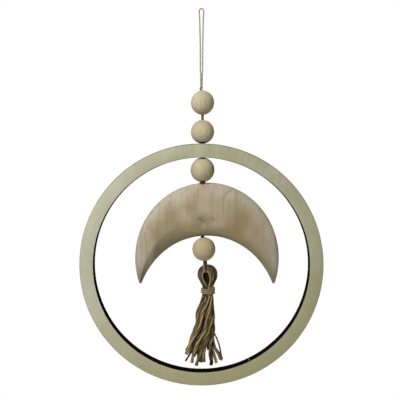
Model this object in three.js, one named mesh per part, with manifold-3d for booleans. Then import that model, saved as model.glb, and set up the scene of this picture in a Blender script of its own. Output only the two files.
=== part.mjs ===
// Crescent wall hanging: four wooden beads, a flat wooden ring, a carved wooden crescent and a yarn
// tassel, strung on one doubled twine. Millimetres, +Z up, and the front faces -Y.
// The origin is the hanging point, where a nail bears on the underside of the twine's loop.

import * as THREE from 'three';
import { mergeVertices } from 'three/addons/utils/BufferGeometryUtils.js';
import Module from 'manifold-3d';

const wasm = await Module();
wasm.setup();

// Twine, from the nail downwards
const twineDiameter = 1.8;
const strandGap = 0.3; // between the twine's two strands where they run side by side
const loopWidth = 5.2; // between the two legs' centres just under the nail
const loopDrop = 99; // from the nail to the top of the first bead
const lineX = 1.3; // the beads hang on a line this far right of the nail and of the ring's centre
const twistRise = 18; // from the first bead up to where the two legs start to cross each other
const twistLength = 15;
const bareNeck = 7; // bare twine between the first two beads
const flexGap = 0.9; // left open in the twine where it bends, so that its halves can swing

// Wood
const seatGap = 0.3; // between pieces that sit on each other
const boreSlack = 0.45; // between the two strands and the wall of each hole that they run through
const beadWidths = [28.8, 29, 29.8, 29]; // each bead is a little taller or flatter than a ball
const beadHeights = [29.2, 28.6, 30, 29.4];
const beadMouthChamfer = 0.5;
const ringDiameter = 305;
const ringFaceWidth = 17.3;
const ringDepth = 15; // a ring sawn from 15 mm board
const ringEdgeRound = 0.8;
const knotDiameter = 8.4;
const knotHeight = 2.4;

// Crescent: two ellipses, the outer and the inner edge, and a thickness that follows their distance
const crescentHalfWidth = 90.3;
const crescentHalfHeight = 95.6;
const crescentBand = 66.6; // height of the wood at its middle
const crescentShift = 5.7; // the hole is drilled this far left of the crescent's middle
const hollowHalfWidth = 90.2;
const hollowHalfHeight = 101;
const crescentThickness = 20;
const hornRise = 126.7; // from the crescent's top down to its horns' tips, less their rounded ends
const leftHornExtra = 0.24; // share by which the wood is thicker at the left end, which keeps it level
const outerFullness = 2.5; // exponents of the pillowed section, on its outer and its inner side
const innerFullness = 3.3;
const crescentDip = 1; // from the third bead's lowest point to the crescent's top
const mouthDiameter = 10.4; // countersink round the hole, where the knot sits
const mouthSlack = 0.5; // below the knot

// Fourth bead and the bight of twine that carries the tassel
const lowerGap = 2.3; // bare twine between the crescent and the fourth bead
const lean = THREE.MathUtils.degToRad(6); // the twine leaves the crescent leaning this far to the right
const bightDrop = 15; // from the fourth bead to the bottom of the bight

// Tassel
const yarnGap = 0.3;
const yarnNeckDiameter = 2.2; // where the wrapping squeezes it
const yarnHeadDiameter = 2.3;
const yarnSkirtDiameter = 3.1;
const yarnLayers = [4, 3, 2]; // yarns side by side in each layer of the folded bundle, innermost first
const eyeHalfWidth = 3.5; // half the opening in the tassel's head
const headFlare = 0.85; // the right-hand fold is this share looser than the left-hand one
const headDrop = 16.4; // from the middle of the fold to the wrapping
const neckShift = 2.5; // the neck sits this far right of the fold's middle
const wrapDiameter = 1.7;
const wrapTurns = 3.5;
const wrapGap = 0.5; // between the wrapping's turns
const footClearance = 8.2; // from the longest yarn's end down to the ring's inner edge
const skirtShift = -6.2; // how far the skirt's foot hangs left of its neck
const skirtWiden = 4.4; // how many times wider and deeper the bundle is at its foot, added to one
const skirtDeepen = 1.1;
const skirtTwist = THREE.MathUtils.degToRad(-62);
const shortestYarn = 0.07; // the share of the skirt by which the shortest ends stop early

const twineRadius = twineDiameter / 2;
const strandOffset = twineRadius + strandGap / 2;
const boreDiameter = 2 * (strandOffset + twineRadius + boreSlack);
const yarnPitch = yarnNeckDiameter + yarnGap;
const headPitch = yarnHeadDiameter + yarnGap;
const hexRow = Math.sqrt(3) / 2; // distance between the rows of a bundle, in pitches

// Heights down the line, each taken from the piece above it
const beadTops = [-loopDrop, -loopDrop - beadHeights[0] - bareNeck];
const firstBend = beadTops[1] + bareNeck / 2;
const ringTop = beadTops[1] - beadHeights[1] - seatGap;
const ringZ = ringTop - ringDiameter / 2;
beadTops[2] = ringTop - ringFaceWidth - seatGap;
const thirdBeadFoot = beadTops[2] - beadHeights[2];
const knotFoot = thirdBeadFoot - seatGap - knotHeight;
const secondBend = knotFoot - seatGap - flexGap / 2;
const crescentTop = thirdBeadFoot - crescentDip;
const crescentFoot = crescentTop - crescentBand;
const lineFoot = new THREE.Vector3(lineX, 0, crescentFoot);
const leaning = new THREE.Vector3(Math.sin(lean), 0, -Math.cos(lean));
const acrossLeaning = new THREE.Vector3(Math.cos(lean), 0, Math.sin(lean));
const fourthBead = along(lineFoot, leaning, lowerGap + beadHeights[3] / 2);
const fourthBeadFoot = along(lineFoot, leaning, lowerGap + beadHeights[3]);
const bightFoot = along(fourthBeadFoot, new THREE.Vector3(0, 0, -1), bightDrop);
const bightAngle = THREE.MathUtils.degToRad(120); // where in the tassel's eye the bight bears
const bightRadius = eyeHalfWidth - yarnGap - twineRadius;
const foldCentre = new THREE.Vector3(
	bightFoot.x - bightRadius * Math.cos(bightAngle), 0, bightFoot.z - bightRadius * Math.sin(bightAngle)
);

function along(from, direction, distance) {
	return from.clone().addScaledVector(direction, distance);
}

function ease(t) {
	return t * t * (3 - 2 * t);
}

// Shared tools: a closed solid's faces are turned outwards, and manifold-3d cuts one solid by another

function facingOut(geometry) {
	const bare = geometry.clone();
	bare.deleteAttribute('normal');
	bare.deleteAttribute('uv');
	const solid = mergeVertices(bare, 1e-4);
	const corner = [new THREE.Vector3(), new THREE.Vector3(), new THREE.Vector3()];
	const index = solid.index.array;
	const kept = [];
	let volume = 0;
	for (let i = 0; i < index.length; i += 3) {
		const [a, b, c] = [index[i], index[i + 1], index[i + 2]];
		if (a === b || b === c || c === a) continue;
		kept.push(a, b, c);
		corner.forEach((v, k) => v.fromBufferAttribute(solid.attributes.position, [a, b, c][k]));
		volume += corner[0].dot(corner[1].clone().cross(corner[2]));
	}
	solid.setIndex(volume > 0 ? kept : kept.reverse());
	return solid;
}

function toManifold(geometry) {
	const solid = facingOut(geometry);
	return new wasm.Manifold(new wasm.Mesh({
		numProp: 3,
		vertProperties: new Float32Array(solid.attributes.position.array),
		triVerts: new Uint32Array(solid.index.array)
	}));
}

function toGeometry(manifold) {
	const mesh = manifold.getMesh();
	const geometry = new THREE.BufferGeometry();
	geometry.setAttribute('position', new THREE.BufferAttribute(mesh.vertProperties, 3));
	geometry.setIndex(new THREE.BufferAttribute(mesh.triVerts, 1));
	return geometry;
}

// A drill along Z, centred at x and z, as a solid to cut with
function drill(diameter, length, x, z) {
	const bit = new THREE.CylinderGeometry(diameter / 2, diameter / 2, length, 16);
	bit.rotateX(Math.PI / 2);
	bit.translate(x, 0, z);
	return toManifold(bit);
}

// A turned piece on the Z axis, from its closed profile of [radius, z] points
function turned(profile, segments) {
	const points = profile.map(([r, z]) => new THREE.Vector2(r, z));
	points.push(points[0].clone());
	const geometry = new THREE.LatheGeometry(points, segments);
	geometry.rotateX(Math.PI / 2);
	return facingOut(geometry);
}

// A length of twine along hand-chosen points
function twine(points, steps) {
	const section = new THREE.Shape();
	const sides = 8;
	for (let i = 0; i < sides; i++) {
		const angle = (2 * Math.PI * i) / sides;
		section[i ? 'lineTo' : 'moveTo'](twineRadius * Math.cos(angle), twineRadius * Math.sin(angle));
	}
	section.closePath();
	const path = new THREE.CatmullRomCurve3(points, false, 'centripetal');
	return facingOut(new THREE.ExtrudeGeometry(section, { steps, extrudePath: path, bevelEnabled: false }));
}

// A soft strand of changing thickness: centres is its centreline and radii its radius at each of them
function strand(centres, radii, sides) {
	const positions = [];
	const indices = [];
	const last = centres.length - 1;
	const side = new THREE.Vector3(0, 1, 0);
	centres.forEach((centre, i) => {
		const ahead = centres[Math.min(i + 1, last)];
		const behind = centres[Math.max(i - 1, 0)];
		const tangent = ahead.clone().sub(behind).normalize();
		side.addScaledVector(tangent, -side.dot(tangent)).normalize();
		const other = tangent.clone().cross(side);
		for (let j = 0; j < sides; j++) {
			const angle = (2 * Math.PI * j) / sides;
			const rim = along(along(centre, side, radii[i] * Math.cos(angle)), other, radii[i] * Math.sin(angle));
			positions.push(rim.x, rim.y, rim.z);
		}
	});
	for (let i = 0; i < last; i++) {
		for (let j = 0; j < sides; j++) {
			const [a, b] = [i * sides + j, i * sides + ((j + 1) % sides)];
			indices.push(a, b, b + sides, a, b + sides, a + sides);
		}
	}
	for (let j = 1; j < sides - 1; j++) {
		indices.push(0, j + 1, j, last * sides, last * sides + j, last * sides + j + 1);
	}
	const geometry = new THREE.BufferGeometry();
	geometry.setAttribute('position', new THREE.Float32BufferAttribute(positions, 3));
	geometry.setIndex(indices);
	return geometry;
}

// Materials

function paint(color, roughness) {
	return new THREE.MeshStandardMaterial({ color, roughness, metalness: 0 });
}

const beadWood = () => paint(0xc6b58f, 0.6);
const ringWood = () => paint(0xb0ae90, 0.7);
const crescentWood = () => paint(0xaea083, 0.65);
const twineFibre = () => paint(0xa39b80, 0.95);
const yarnFibre = () => paint(0x7a6645, 0.95);

// The twine's loop, from the first bend up through the first bead, over the nail and back down.
// Its two legs are each other's half-turn image, and cross once in the twist above the bead.
function hangingLoop() {
	const half = loopWidth / 2;
	const crown = twineRadius - half;
	const twistTop = twistRise - loopDrop;
	const leg = [[0, 0, twineRadius], [half * Math.SQRT1_2, 0, crown + half * Math.SQRT1_2], [half, 0, crown]];
	const narrowing = [[0.98, 0.1], [0.86, 0.25], [0.7, 0.5], [0.62, 0.74], [0.56, 0.9]];
	leg.push(...narrowing.map(([spread, drop]) => [half * spread, 0, twistTop * drop]));
	for (let i = 0; i <= 4; i++) {
		const turn = (Math.PI * i) / 4;
		const z = twistTop - (twistLength * i) / 4;
		leg.push([strandOffset * Math.cos(turn), strandOffset * Math.sin(turn), z]);
	}
	leg.push([-strandOffset, 0, twistTop - twistRise - 3], [-strandOffset, 0, firstBend + flexGap / 2]);
	const drift = (z) => lineX * ease(THREE.MathUtils.clamp(-z / loopDrop, 0, 1));
	const down = leg.map(([x, y, z]) => new THREE.Vector3(drift(z) + x, y, z));
	const up = leg.slice(1).map(([x, y, z]) => new THREE.Vector3(drift(z) - x, -y, z));
	return twine([...up.reverse(), ...down], 76);
}

// One of the two strands hidden in the second bead, the ring, the third bead and the knot
function middleStrand(side) {
	const length = firstBend - secondBend - flexGap;
	const geometry = new THREE.CapsuleGeometry(twineRadius, length - twineDiameter, 3, 8);
	geometry.rotateX(Math.PI / 2);
	geometry.translate(lineX + side * strandOffset, 0, (firstBend + secondBend) / 2);
	return facingOut(geometry);
}

// The lower twine: down through the crescent and the fourth bead, forward round the folded yarns,
// back under them, and up again behind
function lowerTwine() {
	const top = new THREE.Vector3(lineX, 0, secondBend - flexGap / 2);
	const right = new THREE.Vector3(1, 0, 0);
	const line = [
		[top, right],
		[along(top, leaning.clone().set(0, 0, -1), (top.z - crescentFoot) / 2), right],
		[along(lineFoot, new THREE.Vector3(0, 0, 1), 6), right],
		[lineFoot, right.clone().add(acrossLeaning).normalize()],
		[along(lineFoot, leaning, lowerGap + 4), acrossLeaning],
		[fourthBead, acrossLeaning],
		[fourthBeadFoot, acrossLeaning]
	];
	// Sideways, forwards and upwards from the bight's lowest point
	const headDepth = (yarnLayers[0] - 1) / 2 * headPitch + yarnHeadDiameter / 2 + yarnGap + twineRadius;
	const bight = [
		[0.95, 0.09, bightDrop - 1.2], [0.8, 0.3, bightDrop - 2.8], [0.55, 0.62, bightDrop - 4.9],
		[0.35, 0.84, bightDrop - 7.7], [0.2, 1, 4.9], [0.1, 1.1, 2.6], [0, 1.06, 0.9], [0, 0.84, 0], [0, 0.4, 0]
	];
	const routeOn = (side) => [
		...line.map(([centre, across]) => along(centre, across, side * strandOffset)),
		...bight.map(([sideways, forward, up]) => new THREE.Vector3(
			bightFoot.x + side * strandOffset * sideways, side * headDepth * forward, bightFoot.z + up
		))
	];
	return twine([...routeOn(-1), bightFoot.clone(), ...routeOn(1).reverse()], 84);
}

// A round bead, a little taller or flatter than a ball, bored along Z and centred at its own middle
function bead(width, height) {
	const bore = boreDiameter / 2;
	const mouth = bore + beadMouthChamfer;
	const stretch = height / 2 / Math.sqrt(1 - (2 * mouth / width) ** 2);
	const rings = 11;
	const start = Math.acos(2 * mouth / width);
	const profile = [];
	for (let i = 0; i <= rings; i++) {
		const angle = start - (2 * start * i) / rings;
		profile.push([(width / 2) * Math.cos(angle), stretch * Math.sin(angle)]);
	}
	profile.push([bore, -height / 2 + beadMouthChamfer], [bore, height / 2 - beadMouthChamfer]);
	return turned(profile, 28);
}

// The flat ring, centred at its own middle, with its axis along Y and the twine's hole drilled at the top
function ring() {
	const outer = ringDiameter / 2;
	const inner = outer - ringFaceWidth;
	const face = ringDepth / 2;
	const profile = [
		[outer, -face + ringEdgeRound], [outer, face - ringEdgeRound],
		[outer - ringEdgeRound, face], [inner + ringEdgeRound, face],
		[inner, face - ringEdgeRound], [inner, -face + ringEdgeRound],
		[inner + ringEdgeRound, -face], [outer - ringEdgeRound, -face]
	];
	const hoop = turned(profile, 96);
	hoop.rotateX(Math.PI / 2);
	const hole = drill(boreDiameter, 3 * ringFaceWidth, lineX, outer - ringFaceWidth / 2);
	return toGeometry(toManifold(hoop).subtract(hole));
}

// The knot that carries the third bead and the ring: a rounded collar round both strands
function knot() {
	const bore = boreDiameter / 2;
	const profile = [[bore, -knotHeight / 4], [bore, knotHeight / 4]];
	const reach = knotDiameter / 2 - bore;
	for (let i = 1; i < 6; i++) {
		const angle = (Math.PI * i) / 6;
		profile.push([bore + reach * Math.sin(angle), (knotHeight / 2) * Math.cos(angle)]);
	}
	return turned(profile, 20);
}

// The carved crescent, horns down, about the centre of its outer ellipse. Each section runs from the
// inner edge to the outer one, pillowed on both faces, and the wood thins towards the horns.
const outerDrop = crescentHalfHeight * Math.sqrt(1 - (crescentShift / crescentHalfWidth) ** 2);
const hollowDrop = hollowHalfHeight * Math.sqrt(1 - (crescentShift / hollowHalfWidth) ** 2);
const crescentX = lineX + crescentShift;
const crescentZ = crescentTop - outerDrop;
const hollowZ = outerDrop - crescentBand - hollowDrop;

function crescentEdge(t, halfWidth, halfHeight, centreZ) {
	const tip = Math.asin((crescentHalfHeight - hornRise - centreZ) / halfHeight);
	const angle = THREE.MathUtils.lerp(Math.PI - tip, tip, t);
	return new THREE.Vector3(halfWidth * Math.cos(angle), 0, centreZ + halfHeight * Math.sin(angle));
}

function crescentSection(t, points) {
	const outer = crescentEdge(t, crescentHalfWidth, crescentHalfHeight, 0);
	const inner = crescentEdge(t, hollowHalfWidth, hollowHalfHeight, hollowZ);
	const middle = outer.clone().lerp(inner, 0.5);
	const reach = outer.clone().sub(middle);
	const share = Math.sqrt((2 * reach.length()) / crescentBand);
	const sideways = 1 - (leftHornExtra * middle.x) / crescentHalfWidth;
	const half = (crescentThickness / 2) * share * sideways;
	return Array.from({ length: points }, (_, i) => {
		const angle = (2 * Math.PI * i) / points;
		const [c, s] = [Math.cos(angle), Math.sin(angle)];
		const power = 2 / (c > 0 ? outerFullness : innerFullness);
		const point = along(middle, reach, Math.sign(c) * Math.abs(c) ** power);
		point.y = half * Math.sign(s) * Math.abs(s) ** power;
		return point;
	});
}

function crescent() {
	const stations = 46;
	const around = 18;
	const positions = [];
	const indices = [];
	for (let i = 0; i <= stations; i++) {
		const t = (1 - Math.cos((Math.PI * (i + 0.6)) / (stations + 1.2))) / 2;
		crescentSection(t, around).forEach((p) => positions.push(p.x, p.y, p.z));
	}
	for (let i = 0; i < stations; i++) {
		for (let j = 0; j < around; j++) {
			const [a, b] = [i * around + j, i * around + ((j + 1) % around)];
			indices.push(a, b, b + around, a, b + around, a + around);
		}
	}
	const first = positions.length / 3;
	[0, stations * around].forEach((start, end) => {
		const tip = new THREE.Vector3();
		for (let j = 0; j < around; j++) {
			tip.add(new THREE.Vector3().fromArray(positions, 3 * (start + j)));
		}
		tip.divideScalar(around);
		positions.push(tip.x, 0, tip.z - 1.2);
		for (let j = 0; j < around; j++) {
			const [a, b] = [start + j, start + ((j + 1) % around)];
			indices.push(...(end ? [a, b, first + 1] : [b, a, first]));
		}
	});
	const geometry = new THREE.BufferGeometry();
	geometry.setAttribute('position', new THREE.Float32BufferAttribute(positions, 3));
	geometry.setIndex(indices);
	const hole = drill(boreDiameter, 2 * crescentBand, -crescentShift, outerDrop - crescentBand / 2);
	const mouthDepth = crescentTop - knotFoot + mouthSlack;
	const mouth = drill(mouthDiameter, 2 * mouthDepth, -crescentShift, outerDrop);
	return toGeometry(toManifold(geometry).subtract(hole).subtract(mouth));
}

// Tassel, about the middle of its fold. Yarns lie in layers round the eye; the same layers are the
// columns of the bundle at the neck, left and right of its middle.

const neckTop = -headDrop;
const wrapPitch = wrapDiameter + wrapGap;
const neckLength = wrapTurns * wrapPitch + wrapDiameter;
const ringInnerFoot = ringZ - ringDiameter / 2 + ringFaceWidth;
const skirtLength = foldCentre.z + neckTop - neckLength - ringInnerFoot - footClearance;

function depthAt(layer, slot, pitch) {
	return (slot - (yarnLayers[layer] - 1) / 2) * pitch;
}

function columnAt(layer) {
	return yarnPitch * (0.5 + layer * hexRow);
}

function foldRadius(layer, angle) {
	const looseness = 1 + (headFlare * (1 + Math.cos(angle))) / 2;
	return eyeHalfWidth + yarnHeadDiameter / 2 + layer * headPitch * hexRow * looseness;
}

// Places in the skirt: the bundle drifts, widens, deepens and twists on its way down
function skirtPoint(u, v, t, length) {
	const spread = ease(Math.min(1, 1.15 * t)) * 0.55 + t * t * 0.45;
	const turn = skirtTwist * Math.sin((Math.PI / 2) * t);
	const across = u * Math.cos(turn) - v * Math.sin(turn);
	const deep = u * Math.sin(turn) + v * Math.cos(turn);
	return new THREE.Vector3(
		neckShift + skirtShift * Math.sin((Math.PI / 2) * t) + across * (1 + skirtWiden * spread),
		deep * (1 + skirtDeepen * spread),
		neckTop - neckLength - length * t
	);
}

function yarn(layer, slot, number) {
	const centres = [];
	const radii = [];
	const add = (point, diameter) => {
		centres.push(point);
		radii.push(diameter / 2);
	};
	const v = depthAt(layer, slot, yarnPitch);
	const headY = depthAt(layer, slot, headPitch);
	const skirtSteps = 10;
	const legSteps = 4;
	const foldSteps = 8;
	const half = (side) => {
		const points = [];
		const u = side * columnAt(layer);
		const early = shortestYarn * (0.5 + 0.5 * Math.sin(2.4 * number + side));
		for (let i = skirtSteps; i > 0; i--) {
			const t = i / skirtSteps;
			const diameter = THREE.MathUtils.lerp(yarnNeckDiameter, yarnSkirtDiameter, ease(Math.min(1, 2.2 * t)));
			points.push([skirtPoint(u, v, t, skirtLength * (1 - early)), diameter]);
		}
		points.push([new THREE.Vector3(neckShift + u, v, neckTop - neckLength), yarnNeckDiameter]);
		points.push([new THREE.Vector3(neckShift + u, v, neckTop), yarnNeckDiameter]);
		const springing = side * foldRadius(layer, side > 0 ? 0 : Math.PI);
		for (let i = 1; i < legSteps; i++) {
			const t = ease(i / legSteps);
			const x = THREE.MathUtils.lerp(neckShift + u, springing, t);
			const y = THREE.MathUtils.lerp(v, headY, t);
			points.push([
				new THREE.Vector3(x, y, neckTop * (1 - i / legSteps)),
				THREE.MathUtils.lerp(yarnNeckDiameter, yarnHeadDiameter, t)
			]);
		}
		return points;
	};
	half(-1).forEach(([point, diameter]) => add(point, diameter));
	for (let i = 0; i <= foldSteps; i++) {
		const angle = Math.PI * (1 - i / foldSteps);
		const radius = foldRadius(layer, angle);
		add(new THREE.Vector3(radius * Math.cos(angle), headY, radius * Math.sin(angle)), yarnHeadDiameter);
	}
	half(1).reverse().forEach(([point, diameter]) => add(point, diameter));
	return strand(centres, radii, 6);
}

// The oval that the wrapping's centreline follows: the smallest one that clears every yarn in the neck
function wrapOval() {
	const wide = columnAt(yarnLayers.length - 1) + yarnNeckDiameter / 2;
	const deep = depthAt(0, yarnLayers[0] - 1, yarnPitch) + yarnNeckDiameter / 2;
	let grow = 1;
	yarnLayers.forEach((count, layer) => {
		for (let slot = 0; slot < count; slot++) {
			for (let i = 0; i < 24; i++) {
				const angle = (2 * Math.PI * i) / 24;
				const x = columnAt(layer) + (yarnNeckDiameter / 2) * Math.cos(angle);
				const y = depthAt(layer, slot, yarnPitch) + (yarnNeckDiameter / 2) * Math.sin(angle);
				grow = Math.max(grow, Math.hypot(x / wide, y / deep));
			}
		}
	});
	const clear = yarnGap + 0.05 + wrapDiameter / 2;
	return [wide * grow + clear, deep * grow + clear];
}

// The neck's wrapping: one unbroken turn after turn of twine, its ends run out straight
function wrapping() {
	const [wide, deep] = wrapOval();
	const stepsPerTurn = 24;
	const steps = wrapTurns * stepsPerTurn;
	const start = -Math.PI / 2;
	const centres = [];
	for (let i = 0; i <= steps; i++) {
		const angle = start + (2 * Math.PI * i) / stepsPerTurn;
		const z = neckTop - wrapDiameter / 2 - (wrapPitch * i) / stepsPerTurn;
		centres.push(new THREE.Vector3(neckShift + wide * Math.cos(angle), deep * Math.sin(angle), z));
	}
	const runOut = (end, before) => along(end, end.clone().sub(before).setZ(0).normalize(), wrapDiameter);
	centres.unshift(runOut(centres[0], centres[1]));
	centres.push(runOut(centres.at(-1), centres.at(-2)));
	let least = Infinity;
	centres.forEach((a, i) => {
		for (let j = i + stepsPerTurn / 2; j < centres.length; j++) {
			least = Math.min(least, a.distanceTo(centres[j]) - wrapDiameter);
		}
	});
	console.log(`tassel_wrap: least gap to itself ${least.toFixed(2)} mm`);
	return strand(centres, centres.map(() => wrapDiameter / 2), 6);
}

// The whole hanging

const hanging = new THREE.Group();

function add(name, geometry, material, parent = hanging) {
	const mesh = new THREE.Mesh(geometry, material);
	mesh.name = name;
	parent.add(mesh);
	return mesh;
}

add('hanging_loop', hangingLoop(), twineFibre());
beadWidths.forEach((width, i) => {
	const mesh = add(`bead_${i + 1}`, bead(width, beadHeights[i]), beadWood());
	if (i < 3) {
		mesh.position.set(lineX, 0, beadTops[i] - beadHeights[i] / 2);
	} else {
		mesh.position.copy(fourthBead);
		mesh.rotation.y = -lean;
	}
});
add('cord_left', middleStrand(-1), twineFibre());
add('cord_right', middleStrand(1), twineFibre());
add('ring', ring(), ringWood()).position.set(0, 0, ringZ);
add('knot', knot(), twineFibre()).position.set(lineX, 0, knotFoot + knotHeight / 2);
add('crescent', crescent(), crescentWood()).position.set(crescentX, 0, crescentZ);
add('lower_twine', lowerTwine(), twineFibre());

const tassel = new THREE.Group();
tassel.position.copy(foldCentre);
hanging.add(tassel);
let yarnNumber = 0;
yarnLayers.forEach((count, layer) => {
	for (let slot = 0; slot < count; slot++) {
		yarnNumber++;
		add(`yarn_${yarnNumber}`, yarn(layer, slot, yarnNumber), yarnFibre(), tassel);
	}
});
add('tassel_wrap', wrapping(), twineFibre(), tassel);

export default hanging;
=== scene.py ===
"""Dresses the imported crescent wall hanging: laid twine, turned and carved wood, and a yarn tassel."""

import math

import bmesh
import bpy
import numpy as np
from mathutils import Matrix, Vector


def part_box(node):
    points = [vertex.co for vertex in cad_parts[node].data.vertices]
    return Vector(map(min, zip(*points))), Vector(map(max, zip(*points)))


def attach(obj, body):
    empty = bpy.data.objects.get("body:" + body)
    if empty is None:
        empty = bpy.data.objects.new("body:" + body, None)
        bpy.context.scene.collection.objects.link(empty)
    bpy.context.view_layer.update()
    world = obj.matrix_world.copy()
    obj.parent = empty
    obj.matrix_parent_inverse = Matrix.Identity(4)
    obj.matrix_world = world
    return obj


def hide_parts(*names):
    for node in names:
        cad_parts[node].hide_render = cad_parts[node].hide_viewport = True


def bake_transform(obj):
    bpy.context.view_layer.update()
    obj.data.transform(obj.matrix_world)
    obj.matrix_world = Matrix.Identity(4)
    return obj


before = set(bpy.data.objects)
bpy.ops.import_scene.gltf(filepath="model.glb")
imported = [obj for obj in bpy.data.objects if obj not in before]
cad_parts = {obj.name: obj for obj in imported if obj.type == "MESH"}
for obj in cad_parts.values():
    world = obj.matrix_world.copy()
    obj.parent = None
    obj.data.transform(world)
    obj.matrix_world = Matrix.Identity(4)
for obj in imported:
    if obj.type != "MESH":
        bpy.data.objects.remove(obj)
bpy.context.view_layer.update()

MM = 0.001
RIGHT = Vector((1, 0, 0))
DOWN = Vector((0, 0, -1))

# Twine
TWINE = 1.8 * MM
TWINE_LAY = 5.2 * MM  # the length in which a ply goes round once
LOWER_TWINE = 2.6 * MM  # swollen and hairy in the crescent and the fourth bead
BARE_TWINE = 3.1 * MM  # fuller still where it hangs free above the tassel
BIGHT_TWINE = 0.9 * TWINE  # pressed thin where it carries the yarns
STRAND_GAP = 0.3 * MM
STRAND_OFFSET = (TWINE + STRAND_GAP) / 2  # from the line's middle to a strand's
PRESSED_OFFSET = 0.88 * MM  # the same where the strands are pressed together
BORE_ROOM = 0.45 * MM
BORE = 2 * (STRAND_OFFSET + TWINE / 2 + BORE_ROOM)
LOOP_WIDTH = 5.2 * MM
LOOP_DROP = 99 * MM  # from the hanging point to the top of the first bead
LEGS_MEET = 79 * MM  # from the hanging point to where the loop's legs come together
LINE_X = 1.3 * MM  # how far right of the hanging point the beads hang

# Wood
BEAD_WIDTHS = [28.8 * MM, 29 * MM, 29.8 * MM, 29 * MM]
BEAD_HEIGHTS = [29.2 * MM, 28.6 * MM, 30 * MM, 29.4 * MM]
BEAD_MOUTH = 0.5 * MM
RING_FACE = 17.3 * MM
RING_EDGE = 0.8 * MM
CRESCENT_DIP = 1 * MM  # from the third bead's foot down to the crescent's top
CRESCENT_BAND = 66.6 * MM  # from the crescent's top down to its hollow, on the line
CRESCENT_SHIFT = 5.7 * MM  # how far right of the line the crescent's middle lies
OUTER_SIZE = (90.3 * MM, 95.6 * MM)  # half the width and height of the oval that the outer edge follows
HOLLOW_SIZE = (90.2 * MM, 101 * MM)  # the same of the hollow's oval
CRESCENT_THICKNESS = 20 * MM
HORN_RISE = 126.7 * MM  # from the horns' tips up to the outer oval's top
LEFT_EXTRA = 0.24  # how much thicker the wood grows towards the left
MOUTH = 10.4 * MM  # the wide mouth of the crescent's hole, which takes the knot
MOUTH_DEPTH = 3.2 * MM
LOWER_GAP = 2.3 * MM  # bare twine between the crescent and the fourth bead
LEAN = math.radians(6)  # of the line below the crescent
BIGHT_DROP = 15 * MM  # from the fourth bead down to the foot of the twine's bight

# Tassel
YARN_GAP = 0.3 * MM
YARN_NECK, YARN_HEAD = 2.2 * MM, 2.3 * MM
FULL_NECK, FULL_HEAD, FULL_SKIRT = 2.7 * MM, 3.2 * MM, 4.5 * MM  # how thick the soft yarns look
YARN_LAYERS = [4, 3, 2]  # how many yarns lie behind each other in each layer, from the eye outwards
EYE_HALF = 3.5 * MM  # half the width of the eye inside the folded yarns
HEAD_FLARE = 0.85  # how much looser the layers lie on the head's right
HEAD_DROP = 16.4 * MM  # from the fold's middle down to the winding
NECK_SHIFT = 2.5 * MM  # how far right of the fold's middle the neck lies
WRAP = 1.7 * MM
FULL_WRAP = WRAP + 0.3 * MM
WRAP_TURNS = 3.5
WRAP_GAP = 0.5 * MM
STEPS_ROUND = 24  # rows in one turn of the winding
SKIRT_TURN = 4  # places that each yarn moves round the skirt between its neck and its foot
HEX_ROW = math.sqrt(3) / 2  # how far apart close rows lie, as a share of the pitch

# Places down the line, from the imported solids
bead_foot, bead_top = zip(*[(low.z, high.z) for low, high in (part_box(f"bead_{i}") for i in range(1, 5))])
ring_low, ring_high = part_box("ring")
RING_RADIUS = (ring_high.x - ring_low.x) / 2
RING_Z = (ring_high.z + ring_low.z) / 2
RING_DEPTH = ring_high.y - ring_low.y
knot_low, knot_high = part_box("knot")
crescent_top = bead_foot[2] - CRESCENT_DIP
crescent_foot = crescent_top - CRESCENT_BAND
OUTER_DROP = OUTER_SIZE[1] * math.sqrt(1 - (CRESCENT_SHIFT / OUTER_SIZE[0]) ** 2)
HOLLOW_DROP = HOLLOW_SIZE[1] * math.sqrt(1 - (CRESCENT_SHIFT / HOLLOW_SIZE[0]) ** 2)
CRESCENT_CENTRE = Vector((LINE_X + CRESCENT_SHIFT, 0, crescent_top - OUTER_DROP))
line_foot = Vector((LINE_X, 0, crescent_foot))
HOLLOW_RISE = OUTER_DROP - CRESCENT_BAND - HOLLOW_DROP
leaning = Vector((math.sin(LEAN), 0, -math.cos(LEAN)))
across_leaning = Vector((math.cos(LEAN), 0, math.sin(LEAN)))
fourth_low, fourth_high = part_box("bead_4")
fourth_bead = (fourth_low + fourth_high) / 2
fourth_foot = line_foot + leaning * (2 * (fourth_bead - line_foot).length - LOWER_GAP)
bight_foot = fourth_foot + DOWN * BIGHT_DROP
bight_angle = math.radians(120)
bight_radius = EYE_HALF - YARN_GAP - TWINE / 2
FOLD = Vector((
    bight_foot.x - bight_radius * math.cos(bight_angle), 0,
    bight_foot.z - bight_radius * math.sin(bight_angle),
))


def ease(t):
    t = min(1.0, max(0.0, t))
    return t * t * (3 - 2 * t)


def lerp(a, b, t):
    return a + (b - a) * t


# Camera

CAMERA_PLACE = Vector((-1.8 * MM, -781.5 * MM, RING_Z + 133.7 * MM))
CAMERA_TILT = 3.77  # degrees downwards
CAMERA_LENS, SENSOR_WIDTH = 56.34, 36


def camera():
    data = bpy.data.cameras.new("camera")
    data.sensor_width = SENSOR_WIDTH
    data.lens = CAMERA_LENS
    data.clip_start, data.clip_end = 0.05, 20
    holder = bpy.data.objects.new("camera", data)
    holder.location = CAMERA_PLACE
    holder.rotation_euler = (math.radians(90 - CAMERA_TILT), 0, 0)
    bpy.context.scene.collection.objects.link(holder)
    bpy.context.scene.camera = holder


# Laid twine and yarn


def distances(line):
    """How many metres down the line each of its rows lies."""
    steps = np.linalg.norm(np.diff(line[:, :3], axis=0), axis=1)
    return np.concatenate([[0], np.cumsum(steps)])


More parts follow.
